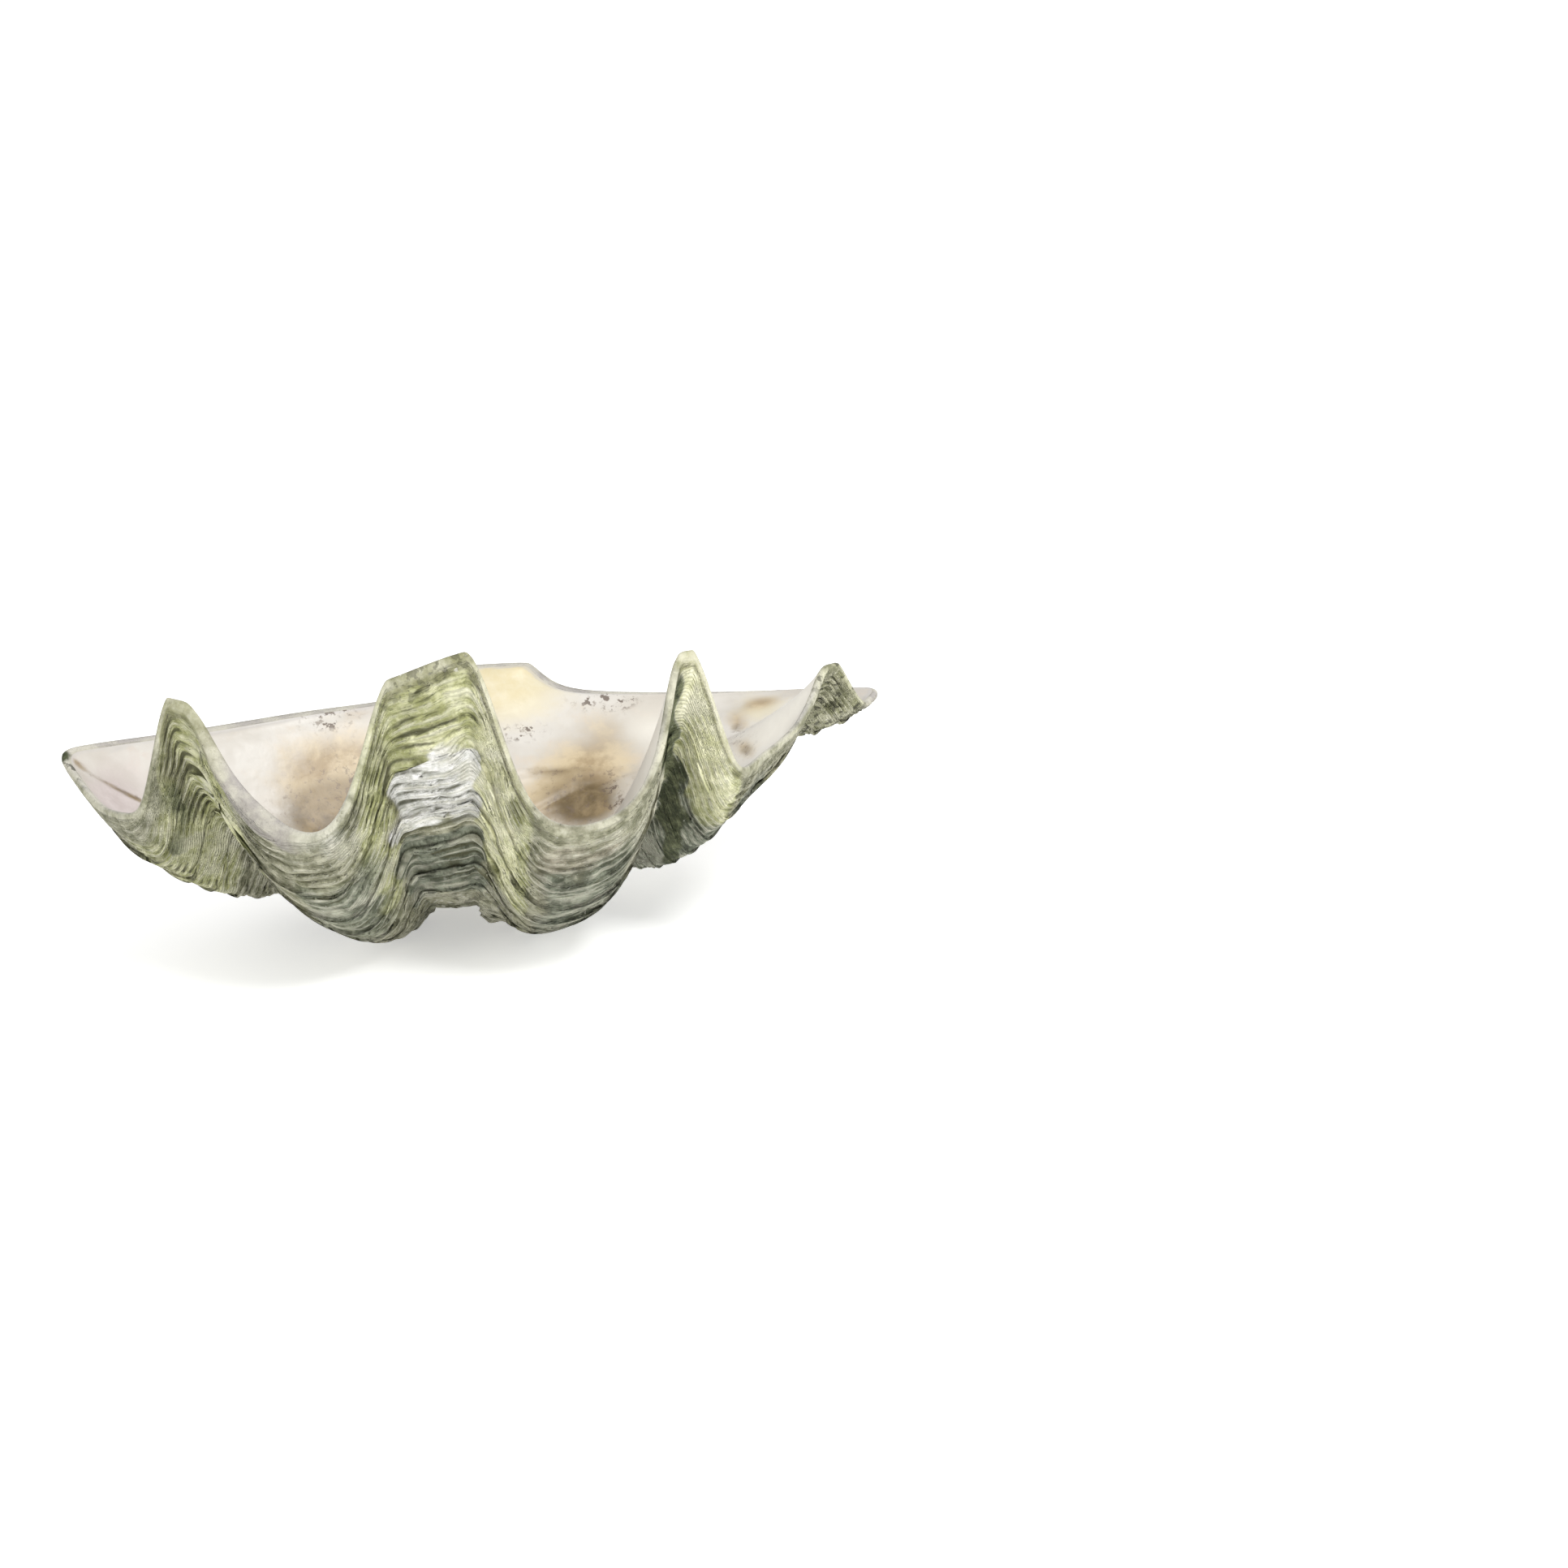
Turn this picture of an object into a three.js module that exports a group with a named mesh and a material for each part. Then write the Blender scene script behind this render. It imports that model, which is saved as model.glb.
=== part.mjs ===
// One valve of a giant clam shell, lying hollow side up on two of its ribs.
// Lengths are millimetres. X runs along the hinge, the scalloped front edge faces -Y, +Z is up.
//
// A clam shell grows by adding to its edge, so every older stage of it is a smaller copy of the
// present edge, turned about the hinge. The outside is that family of edges, from the full-size
// one back to the beak. The hollow follows the outside at the wall thickness and runs out into
// one smooth bowl.

import * as THREE from "three";

// The edge without its folds, as seen from above, from the beak round by the left end:
// x, y and height over the hinge line.
const EDGE = [
  [0, 6, 0], [-60, 6, 0], [-112, 2, 0], [-190, -8, 0], [-320, -38, 0],
  [-422, -80, 6], [-441, -97, 4], [-438, -130, -6], [-421, -204, -20], [-386, -293, -10], [-252, -412, -19],
  [-143, -475, 0], [-30, -464, -12], [102, -459, 5], [186, -374, 10], [294, -300, 0], [360, -214, 6],
  [382, -150, 4], [290, -98, 0], [170, -58, 0], [98, -24, 0], [58, -6, 0],
];

// The folds that stand up from the edge: four tongues, and the boss over the hinge.
// at: where on the edge; top: half width of the level top; fall: how fast each side drops away,
// left then right; round: how soft the shoulder is, left then right; lean: how far the top
// leans in over the bowl; tilt: rise of the top to the right over forty millimetres.
const FOLDS = [
  { name: "left tongue", at: [-370, -308], top: 7, fall: [6.5, 38], round: [20, 28], height: 114, lean: 13, tilt: -2 },
  { name: "broad tongue", at: [-172, -467], top: 38, fall: [18, 17.5], round: [22, 50], height: 156, lean: 27, tilt: 8 },
  { name: "tall tongue", at: [104, -459], top: 6, fall: [27, 12], round: [24, 22], height: 133, lean: 32, tilt: -9 },
  { name: "right tongue", at: [304, -290], top: 9, fall: [44, 25], round: [24, 16], height: 72, lean: 16, tilt: -6 },
  { name: "hinge boss", at: [4, 6], top: 48, fall: [16, 14], round: [14, 14], height: 30, lean: 0, tilt: 0 },
];
const FAN_CENTRE = [-30, -170];

// Growth: size s goes from 1 at the edge to 0 at the beak.
const TURN = 2.92;               // radians turned from the edge back to the beak
const LATE_TURN = 0.07;          // extra turn of the last growth, which makes the walls stand
const LATE_SHARE = 0.03;         // share of the growth it takes
const COIL_BEARING = -17.4;      // degrees, the axis the shell coils round, seen from above
const DEEPEN = 0.85;             // folds deepen a little faster than the shell widens

// Ledges left by pauses in the growth: sizes at which one ends, and how far it stands out.
const LEDGES = [0.935, 0.872, 0.815, 0.76, 0.708, 0.66, 0.613, 0.567, 0.522, 0.478];
const LEDGE_STEP = 0.012;        // share of the distance from the beak
const LEDGE_FACE = 0.005;        // the step takes this much of the size
const OLD_STAGES = [0.42, 0.33, 0.23, 0.13, 0.05];

// Wall.
const LIP = 7;                   // thickness of the scalloped edge
const HINGE_LIP = 18;            // width of the edge along the hinge
const WALL_GAIN = 16;            // what the wall gains away from the edge
const HINGE_GAIN = 12;
const GAIN_SHARE = 0.12;
const THICK_LIP = { at: [-305, -372], reach: 55, gain: 13 }; // right flank of the left tongue
const BACK_ROLL = 14;            // drop of the outside behind the right arm of the hinge
const BOWL_FLOOR = new THREE.Vector3(-45, -170, -118);
const BOWL_STAGES = [1, 0.95, 0.9, 0.84, 0.78, 0.72, 0.66, 0.6, 0.54, 0.48, 0.42, 0.36, 0.31];
const BOWL_END = 0.28;

// How it lies: turned from the plane of its hinge on to the two ribs it rests on.
const ROLL = 2.67;               // degrees about Y, right end up
const PITCH = 1.83;              // degrees about X, front up
const WORN = 3.5;                // depth of the flats worn on the two ribs

// Sampling.
const EDGE_STEPS = 1260;
const EVERY = 10;

const lerp = (a, b, t) => a + (b - a) * t;
const clamp01 = (t) => Math.min(1, Math.max(0, t));
const COIL_AXIS = new THREE.Vector3(
  Math.cos(THREE.MathUtils.degToRad(COIL_BEARING)),
  Math.sin(THREE.MathUtils.degToRad(COIL_BEARING)),
  0,
);

// A smooth closed curve through the given places (cubic, even in curvature), as n points.
function closedCurve(places, n) {
  const P = places.map((p) => new THREE.Vector3(...p));
  const K = P.length;
  const at = (list, i) => list[(i + K) % K];
  const gap = P.map((p, i) => Math.sqrt(p.distanceTo(at(P, i + 1))));
  const slope = P.map(() => new THREE.Vector3());
  for (let pass = 0; pass < 90; pass++) {
    for (let i = 0; i < K; i++) {
      const g0 = at(gap, i - 1);
      const g1 = gap[i];
      const s = P[i].clone().sub(at(P, i - 1)).multiplyScalar(3 / (g0 * g0));
      s.addScaledVector(at(P, i + 1).clone().sub(P[i]), 3 / (g1 * g1));
      s.addScaledVector(at(slope, i - 1), -1 / g0).addScaledVector(at(slope, i + 1), -1 / g1);
      slope[i] = s.multiplyScalar(1 / (2 / g0 + 2 / g1));
    }
  }
  const total = gap.reduce((a, b) => a + b, 0);
  const curve = [];
  let k = 0;
  let start = 0;
  for (let j = 0; j < n; j++) {
    const t = (j * total) / n;
    while (k < K - 1 && t >= start + gap[k]) {
      start += gap[k];
      k += 1;
    }
    const g = gap[k];
    const x = (t - start) / g;
    const v = P[k].clone().multiplyScalar(2 * x ** 3 - 3 * x ** 2 + 1);
    v.addScaledVector(slope[k], g * (x ** 3 - 2 * x ** 2 + x));
    v.addScaledVector(at(P, k + 1), -2 * x ** 3 + 3 * x ** 2);
    v.addScaledVector(at(slope, k + 1), g * (x ** 3 - x ** 2));
    curve.push(v);
  }
  return curve;
}

// Height of a fold x millimetres along the edge from its middle, 1 at the top.
function foldShape(x, fold) {
  const side = (beyond, fall, round) => Math.exp(-(Math.hypot(beyond, round) - round) / fall);
  return side(Math.max(0, -x - fold.top), fold.fall[0], fold.round[0])
    * side(Math.max(0, x - fold.top), fold.fall[1], fold.round[1]);
}

// The edge of the shell: its plain course and what the folds add to it.
function shellEdge() {
  const n = 3200;
  const plain = closedCurve(EDGE, n);
  const arc = [0];
  for (let i = 1; i <= n; i++) arc.push(arc[i - 1] + plain[i % n].distanceTo(plain[i - 1]));
  const length = arc[n];
  const fold = plain.map(() => new THREE.Vector3());
  for (const f of FOLDS) {
    const away = plain.map((p) => Math.hypot(p.x - f.at[0], p.y - f.at[1]));
    const middle = arc[away.indexOf(Math.min(...away))];
    plain.forEach((p, i) => {
      const x = ((arc[i] - middle + 1.5 * length) % length) - length / 2;
      const b = foldShape(x, f);
      const slant = f.tilt * Math.min(1.5, Math.max(-1.5, x / 40));
      const inward = new THREE.Vector3(FAN_CENTRE[0] - p.x, FAN_CENTRE[1] - p.y, 0).normalize();
      fold[i].addScaledVector(inward, b * f.lean);
      fold[i].z += b * (f.height + slant);
    });
  }
  return { plain, fold };
}

// The same edge at even steps, closer together on the folds than along the hinge.
function evenSteps(edge, n) {
  const m = edge.plain.length;
  const whole = edge.plain.map((p, i) => p.clone().add(edge.fold[i]));
  const along = [0];
  for (let i = 1; i <= m; i++) {
    const weight = lerp(0.45, 1, clamp01((-60 - edge.plain[i - 1].y) / 60));
    along.push(along[i - 1] + weight * whole[i % m].distanceTo(whole[i - 1]));
  }
  const plain = [];
  const fold = [];
  let k = 0;
  for (let j = 0; j < n; j++) {
    const t = (j * along[m]) / n;
    while (along[k + 1] < t) k += 1;
    const x = (t - along[k]) / (along[k + 1] - along[k]);
    plain.push(edge.plain[k].clone().lerp(edge.plain[(k + 1) % m], x));
    fold.push(edge.fold[k].clone().lerp(edge.fold[(k + 1) % m], x));
  }
  return { plain, fold };
}

const turnAt = (s) => TURN * (1 - Math.sqrt(s)) + LATE_TURN * (1 - Math.exp((s - 1) / LATE_SHARE));

// Edge point i of the shell when it was s times its present size.
function grown(edge, i, s, keep = 1) {
  const p = edge.plain[i].clone().addScaledVector(edge.fold[i], keep * s ** DEEPEN);
  return p.applyAxisAngle(COIL_AXIS, turnAt(s)).multiplyScalar(s);
}

// 1 on the arm of the hinge that runs along the coil axis, 0 away from it.
function hingeArm(p) {
  return 1 - clamp01((COIL_AXIS.y * p.x - COIL_AXIS.x * p.y) / 70);
}

function outside(edge, i, s, ledge) {
  const p = grown(edge, i, s).multiplyScalar(1 + ledge * LEDGE_STEP);
  const drop = hingeArm(edge.plain[i]) * BACK_ROLL * s * (1 - Math.exp((s - 1) / 0.04));
  return p.add(new THREE.Vector3(0, 0.35 * drop, -0.94 * drop));
}

// The outside as rows from the edge to the beak; each ledge gives two rows.
function outsideRows(edge) {
  const rows = [[1, 0]];
  for (const s of LEDGES) rows.push([s + LEDGE_FACE, 0], [s, 1]);
  for (const s of OLD_STAGES) rows.push([s, 0]);
  return rows.map(([s, ledge]) => edge.plain.map((_, i) => outside(edge, i, s, ledge)));
}

// The direction from the outside into the wall, for a whole row.
function inwards(edge, s, keep) {
  const n = edge.plain.length;
  const row = edge.plain.map((_, i) => grown(edge, i, s, keep));
  const older = edge.plain.map((_, i) => grown(edge, i, s - 0.01, keep));
  const raw = row.map((p, i) => {
    const along = row[(i + 5) % n].clone().sub(row[(i - 5 + n) % n]);
    const normal = along.cross(older[i].clone().sub(p)).normalize();
    const arm = hingeArm(edge.plain[i]);
    const level = new THREE.Vector3(FAN_CENTRE[0] - edge.plain[i].x, FAN_CENTRE[1] - edge.plain[i].y, 0);
    return normal.multiplyScalar(1 - arm).addScaledVector(level.normalize(), arm);
  });
  return raw.map((_, i) => {
    const mean = new THREE.Vector3();
    for (let k = -12; k <= 12; k++) mean.addScaledVector(raw[(i + k + n) % n], 13 - Math.abs(k));
    return mean.normalize();
  });
}

// The hollow as rows from the edge to the floor of the bowl, where the folds fade out.
function hollowRows(edge) {
  return BOWL_STAGES.map((s) => {
    const keep = lerp(0.6, 1, clamp01((s - 0.5) / 0.42));
    const gain = 1 - Math.exp((s - 1) / GAIN_SHARE);
    const bowl = clamp01((1 - s) / (1 - BOWL_END)) ** 2;
    const into = inwards(edge, s, keep);
    return edge.plain.map((p, i) => {
      const hinge = clamp01((p.y + 110) / 60);
      const wall = lerp(LIP, HINGE_LIP, hinge) + gain * lerp(WALL_GAIN, HINGE_GAIN, hinge);
      const away = Math.hypot(p.x - THICK_LIP.at[0], p.y - THICK_LIP.at[1]) / THICK_LIP.reach;
      const thick = THICK_LIP.gain * Math.exp(-away * away) * (1 - gain);
      return grown(edge, i, s, keep).addScaledVector(into[i], wall + thick).lerp(BOWL_FLOOR, bowl);
    });
  });
}

// Closed skin from the beak, over the outside, round the lip and down the hollow.
function closedSkin(rows) {
  const n = rows[0].length;
  const middle = (row) => row.reduce((a, p) => a.add(p), new THREE.Vector3()).multiplyScalar(1 / n);
  const points = rows.flat();
  const first = points.push(middle(rows[0])) - 1;
  const last = points.push(middle(rows[rows.length - 1])) - 1;
  const faces = [];
  for (let r = 0; r + 1 < rows.length; r++) {
    for (let i = 0; i < n; i++) {
      const j = (i + 1) % n;
      const [a, b, c, d] = [r * n + i, r * n + j, (r + 1) * n + j, (r + 1) * n + i];
      const acrossAC = points[a].distanceToSquared(points[c]);
      if (acrossAC < points[b].distanceToSquared(points[d])) faces.push(a, b, c, a, c, d);
      else faces.push(a, b, d, b, c, d);
    }
  }
  for (let i = 0; i < n; i++) {
    const j = (i + 1) % n;
    const end = (rows.length - 1) * n;
    faces.push(first, j, i, last, end + i, end + j);
  }
  return { points, faces };
}

// Six times the volume inside a skin; negative when its faces look inwards.
function sixVolumes({ points, faces }) {
  let sum = 0;
  for (let f = 0; f < faces.length; f += 3) {
    const [a, b, c] = [points[faces[f]], points[faces[f + 1]], points[faces[f + 2]]];
    sum += a.dot(b.clone().cross(c));
  }
  return sum;
}

// Lays the shell down: turns it on to its resting ribs, wears them flat and puts the middle of
// the underside of its box at the origin.
function layDown(points) {
  const roll = new THREE.Matrix4().makeRotationY(THREE.MathUtils.degToRad(ROLL));
  const pitch = new THREE.Matrix4().makeRotationX(THREE.MathUtils.degToRad(PITCH));
  for (const p of points) p.applyMatrix4(roll).applyMatrix4(pitch);
  const box = new THREE.Box3().setFromPoints(points);
  const ground = box.min.z + WORN;
  const middle = box.getCenter(new THREE.Vector3());
  for (const p of points) {
    p.set(p.x - middle.x, p.y - middle.y, Math.max(0, p.z - ground));
  }
}

const fine = evenSteps(shellEdge(), EDGE_STEPS);
const pick = (row) => row.filter((_, i) => i % EVERY === 0);
const rows = [...outsideRows(fine).reverse(), ...hollowRows(fine)].map(pick);
const skin = closedSkin(rows);
if (sixVolumes(skin) < 0) skin.faces.reverse();
layDown(skin.points);

const geometry = new THREE.BufferGeometry();
geometry.setAttribute("position", new THREE.Float32BufferAttribute(skin.points.flatMap((p) => p.toArray()), 3));
geometry.setIndex(skin.faces);
geometry.computeVertexNormals();

const valve = new THREE.Mesh(
  geometry,
  new THREE.MeshStandardMaterial({ color: 0xb9bba0, roughness: 0.8, metalness: 0 }),
);
valve.name = "valve";

const part = new THREE.Group();
part.name = "giant_clam_shell";
part.add(valve);

export default part;
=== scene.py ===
# %% [markdown]
# A giant clam's valve, lying hollow side up. The animal adds lime to the edge of its shell,
# so each older stage is a smaller copy of the present edge, turned about the hinge. That one
# rule gives the ribs, the tall tongues between them and every growth line on the outside.
# It could be sculpted, but a rule keeps ribs, lines and edge in step, so numpy works it out.

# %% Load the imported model
import math

import bpy
import numpy as np
from mathutils import Matrix, Vector


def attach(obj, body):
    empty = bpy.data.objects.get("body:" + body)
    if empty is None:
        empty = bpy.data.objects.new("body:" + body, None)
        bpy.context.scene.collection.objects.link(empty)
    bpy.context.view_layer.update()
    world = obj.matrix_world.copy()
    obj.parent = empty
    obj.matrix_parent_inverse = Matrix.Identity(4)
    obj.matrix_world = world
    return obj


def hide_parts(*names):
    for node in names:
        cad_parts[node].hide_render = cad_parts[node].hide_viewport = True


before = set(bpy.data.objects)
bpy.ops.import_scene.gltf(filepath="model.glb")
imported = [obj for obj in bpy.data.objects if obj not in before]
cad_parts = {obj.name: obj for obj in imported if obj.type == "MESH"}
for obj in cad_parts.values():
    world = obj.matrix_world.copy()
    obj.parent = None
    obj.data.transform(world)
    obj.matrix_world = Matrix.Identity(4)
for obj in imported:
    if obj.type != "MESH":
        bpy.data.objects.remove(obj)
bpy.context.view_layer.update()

# %% [markdown]
# The edge is the whole plan of the shell. On the real one it swings out round the ribs and
# stands up between them in tongues. It could be drawn as one hard curve in space, but it is
# easier to read as a smooth course seen from above, plus folds that stand up from it.

# %% Places of the edge, in millimetres
MM = 0.001
EDGE = np.array([
    (0, 6, 0), (-60, 6, 0), (-112, 2, 0), (-190, -8, 0), (-320, -38, 0),
    (-422, -80, 6), (-441, -97, 4), (-438, -130, -6), (-421, -204, -20), (-386, -293, -10),
    (-252, -412, -19), (-143, -475, 0), (-30, -464, -12), (102, -459, 5), (186, -374, 10),
    (294, -300, 0), (360, -214, 6), (382, -150, 4), (290, -98, 0), (170, -58, 0), (98, -24, 0), (58, -6, 0),
], float)
FAN_CENTRE = np.array([-30.0, -170.0])
FOLDS = {
    "left tongue": dict(
        at=(-370, -308), top=7, fall=(6.5, 38), soft=(20, 28), height=114, lean=13, tilt=-2),
    "broad tongue": dict(
        at=(-172, -467), top=38, fall=(18, 17.5), soft=(22, 50), height=154, lean=27, tilt=8),
    "tall tongue": dict(
        at=(104, -459), top=6, fall=(27, 12), soft=(24, 22), height=133, lean=32, tilt=-9),
    "right tongue": dict(
        at=(304, -290), top=9, fall=(44, 25), soft=(24, 16), height=72, lean=16, tilt=-6),
    "hinge boss": dict(
        at=(4, 6), top=48, fall=(16, 14), soft=(14, 14), height=30, lean=0, tilt=0),
}
TILT_OVER = 40
TILT_LIMIT = 1.5


# %% A smooth closed curve
def closed_curve(places, n):
    """Cubic curve through the places and back to the first, with even bending.

    The slopes at the places solve one small linear system, and between two places the
    curve blends both places and both slopes with the four Hermite weights.
    """
    count = len(places)
    i = np.arange(count)
    gap = np.sqrt(np.linalg.norm(np.roll(places, -1, 0) - places, axis=1))
    before = np.roll(gap, 1)
    system = np.zeros((count, count))
    system[i, i - 1] = 1 / before
    system[i, i] = 2 / before + 2 / gap
    system[i, (i + 1) % count] = 1 / gap
    pull = (places - np.roll(places, 1, 0)) / before[:, None] ** 2
    pull = 3 * (pull + (np.roll(places, -1, 0) - places) / gap[:, None] ** 2)
    slope = np.linalg.solve(system, pull)
    knot = np.append(0, np.cumsum(gap))
    t = np.arange(n) * knot[-1] / n
    k = np.searchsorted(knot, t, side="right") - 1
    x = ((t - knot[k]) / gap[k])[:, None]
    g = gap[k][:, None]
    j = (k + 1) % count
    start = (2 * x**3 - 3 * x**2 + 1) * places[k] + g * (x**3 - 2 * x**2 + x) * slope[k]
    return start + (3 * x**2 - 2 * x**3) * places[j] + g * (x**3 - x**2) * slope[j]


# %% The folded edge
def fold_shape(x, fold):
    """1 on the level top, then exp(-(hypot(d, soft) - soft) / fall) at d beyond it on each side."""
    left = np.maximum(0, -x - fold["top"])
    right = np.maximum(0, x - fold["top"])
    down = (np.hypot(left, fold["soft"][0]) - fold["soft"][0]) / fold["fall"][0]
    return np.exp(-down - (np.hypot(right, fold["soft"][1]) - fold["soft"][1]) / fold["fall"][1])


def unit(v):
    """Each vector divided by its length."""
    return v / (np.linalg.norm(v, axis=-1, keepdims=True) + 1e-12)


def shell_edge(n=3200):
    """The plain edge and, apart, what the folds add to it: height and a lean to the fan's centre."""
    plain = closed_curve(EDGE, n)
    step = np.linalg.norm(np.roll(plain, -1, 0) - plain, axis=1)
    arc = np.append(0, np.cumsum(step))
    inward = np.append(unit(FAN_CENTRE - plain[:, :2]), np.zeros((n, 1)), axis=1)
    added = np.zeros_like(plain)
    for fold in FOLDS.values():
        middle = arc[np.argmin(np.hypot(*(plain[:, :2] - fold["at"]).T))]
        x = (arc[:-1] - middle + 1.5 * arc[-1]) % arc[-1] - arc[-1] / 2
        b = fold_shape(x, fold)
        added += (b * fold["lean"])[:, None] * inward
        added[:, 2] += b * (fold["height"] + fold["tilt"] * np.clip(x / TILT_OVER, -TILT_LIMIT, TILT_LIMIT))
    return plain, added


HINGE_WEIGHT = 0.45
HINGE_BAND = 60


def even_steps(plain, added, n):
    """The edge at n even steps; a step along the hinge counts HINGE_WEIGHT of one elsewhere."""
    closed_plain = np.vstack([plain, plain[:1]])
    closed_added = np.vstack([added, added[:1]])
    whole = closed_plain + closed_added
    off_hinge = np.clip((-HINGE_BAND - plain[:, 1]) / HINGE_BAND, 0, 1)
    weight = HINGE_WEIGHT + (1 - HINGE_WEIGHT) * off_hinge
    along = np.append(0, np.cumsum(weight * np.linalg.norm(np.diff(whole, axis=0), axis=1)))
    t = np.arange(n) * along[-1] / n
    pick = lambda path: np.stack([np.interp(t, along, path[:, axis]) for axis in range(3)], -1)
    return pick(closed_plain), pick(closed_added)


EDGE_STEPS = 1260
plain, added = even_steps(*shell_edge(), EDGE_STEPS)
print("edge:", EDGE_STEPS, "steps, highest", round((plain + added)[:, 2].max()), "mm over the hinge")

# %% [markdown]
# Growth. A stage of size s is the edge scaled by s and turned about the axis the shell coils
# round. The last growth turns a little faster, which makes the walls near the edge stand.
# Sections placed by hand and lofted would do too, but they never share one growth line.

# %% Growth
TURN = 2.92
LATE_TURN = 0.07
LATE_SHARE = 0.03
COIL_BEARING = math.radians(-17.4)
DEEPEN = 0.85
COIL_AXIS = np.array([math.cos(COIL_BEARING), math.sin(COIL_BEARING), 0.0])
HINGE_ARM_REACH = 70


def grown(s, keep=1.0):
    """Rows of edge points: turned(plain + keep * s^DEEPEN * folds) * s, one row for each size s."""
    s = np.asarray(s, float)[:, None]
    angle = TURN * (1 - np.sqrt(s)) + LATE_TURN * (1 - np.exp((s - 1) / LATE_SHARE))
    p = plain + (keep * s**DEEPEN)[:, :, None] * added
    c = np.cos(angle)[:, :, None]
    axis = np.broadcast_to(COIL_AXIS, p.shape)
    turned = p * c + np.cross(axis, p) * np.sin(angle)[:, :, None]
    return s[:, :, None] * (turned + axis * (p @ COIL_AXIS)[:, :, None] * (1 - c))


from_axis = COIL_AXIS[1] * plain[:, 0] - COIL_AXIS[0] * plain[:, 1]
hinge_arm = 1 - np.clip(from_axis / HINGE_ARM_REACH, 0, 1)

# %% The outside, with the ledges left by pauses in the growth
LEDGES = np.array([0.935, 0.872, 0.815, 0.76, 0.708, 0.66, 0.613, 0.567, 0.522, 0.478])
LAST_LEDGE_END = 0.42
LEDGE_STEP = 0.012
BACK_ROLL = 14
BACK_ROLL_SHARE = 0.04
BACK_ROLL_AIM = np.array([0, 0.35, -0.94])


def ledge_height(s):
    """0 just above each ledge, 1 on its brink, then falling evenly to the next ledge."""
    brinks = np.append(LEDGES, LAST_LEDGE_END)
    k = np.clip(np.searchsorted(-brinks, -s) - 1, 0, len(LEDGES) - 1)
    fall = (s - brinks[k + 1]) / (brinks[k] - brinks[k + 1])
    return np.where((s <= LEDGES[0]) & (s >= brinks[-1]), np.clip(fall, 0, 1), 0.0)


def outside(s):
    """The grown rows, pushed out by the ledges, with the drop behind the right arm of the hinge."""
    s = np.asarray(s, float)
    p = grown(s) * (1 + LEDGE_STEP * ledge_height(s))[:, None, None]
    drop = hinge_arm * BACK_ROLL * (s * (1 - np.exp((s - 1) / BACK_ROLL_SHARE)))[:, None]
    return p + drop[:, :, None] * BACK_ROLL_AIM


# %% [markdown]
# The hollow follows the outside at the wall's thickness. Away from the edge the folds fade
# and the surface runs out into one smooth bowl, as it does in the real shell. A solidify
# modifier would give one even wall with every rib in it, so the hollow gets rows of its own.

# %% The hollow
LIP = 7
HINGE_LIP = 18
WALL_GAIN = 16
HINGE_GAIN = 12
GAIN_SHARE = 0.12
THICK_LIP = dict(at=(-305, -372), reach=55, gain=13)
BOWL_FLOOR = np.array([-45.0, -170.0, -118.0])
BOWL_END = 0.28
FOLDS_KEPT = 0.6
FADE_END = 0.5
FADE_SPAN = 0.42
HINGE_DEPTH = 110
AGE_STEP = 0.01
SIDE_STEPS = 5
BLEND_STEPS = 12


def inwards(s, keep):
    """Unit direction into the wall: across the surface, level towards the fan on the hinge arm."""
    row = grown(s, keep)
    along = np.roll(row, -SIDE_STEPS, 1) - np.roll(row, SIDE_STEPS, 1)
    normal = unit(np.cross(along, grown(s - AGE_STEP, keep) - row))
    level = np.append(unit(FAN_CENTRE - plain[:, :2]), np.zeros((EDGE_STEPS, 1)), axis=1)
    raw = normal * (1 - hinge_arm)[:, None] + level * hinge_arm[:, None]
    nearby = range(-BLEND_STEPS, BLEND_STEPS + 1)
    return unit(sum((BLEND_STEPS + 1 - abs(k)) * np.roll(raw, k, 1) for k in nearby))


def hollow(s):
    """grown + thickness * inwards, drawn to the bowl's floor by ((1 - s) / (1 - BOWL_END))^2."""
    s = np.asarray(s, float)
    keep = (FOLDS_KEPT + (1 - FOLDS_KEPT) * np.clip((s - FADE_END) / FADE_SPAN, 0, 1))[:, None]
    gain = (1 - np.exp((s - 1) / GAIN_SHARE))[:, None]
    hinge = np.clip((plain[:, 1] + HINGE_DEPTH) / HINGE_BAND, 0, 1)
    wall = LIP + (HINGE_LIP - LIP) * hinge + gain * (WALL_GAIN + (HINGE_GAIN - WALL_GAIN) * hinge)
    away = np.hypot(*(plain[:, :2] - THICK_LIP["at"]).T)
    wall = wall + THICK_LIP["gain"] * np.exp(-((away / THICK_LIP["reach"]) ** 2)) * (1 - gain)
    skin = grown(s, keep) + inwards(s, keep) * wall[:, :, None]
    bowl = (np.clip((1 - s) / (1 - BOWL_END), 0, 1) ** 2)[:, None, None]
    return skin * (1 - bowl) + BOWL_FLOOR * bowl


# %% [markdown]
# How it lies. On the floor a valve settles on its two middle ribs, a little off level, and
# those two places are worn flat. The object could be turned instead, but then its origin
# would leave the solid's, so the points themselves get the solid's turn and nearly its shift.

# %% Laying it down
ROLL = math.radians(2.67)
PITCH = math.radians(1.83)
SHIFT = np.array([29.028, 215.2, 190.658])
LIE = np.array(Matrix.Rotation(PITCH, 3, "X") @ Matrix.Rotation(ROLL, 3, "Y"))


def lay_down(p):
    """Shell millimetres to metres on the floor: turned, shifted, nothing under the floor."""
    p = p @ LIE.T + SHIFT
    p[..., 2] = np.maximum(p[..., 2], 0)
    return p * MM


# %% [markdown]
# Growth lines. Now and then the edge paused, which left a groove along a line of one size s.
# They could be a bump in the material alone, but the real ones are deep enough to cast
# shadows and to notch the outline, so the larger ones are cut into the mesh.

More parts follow.
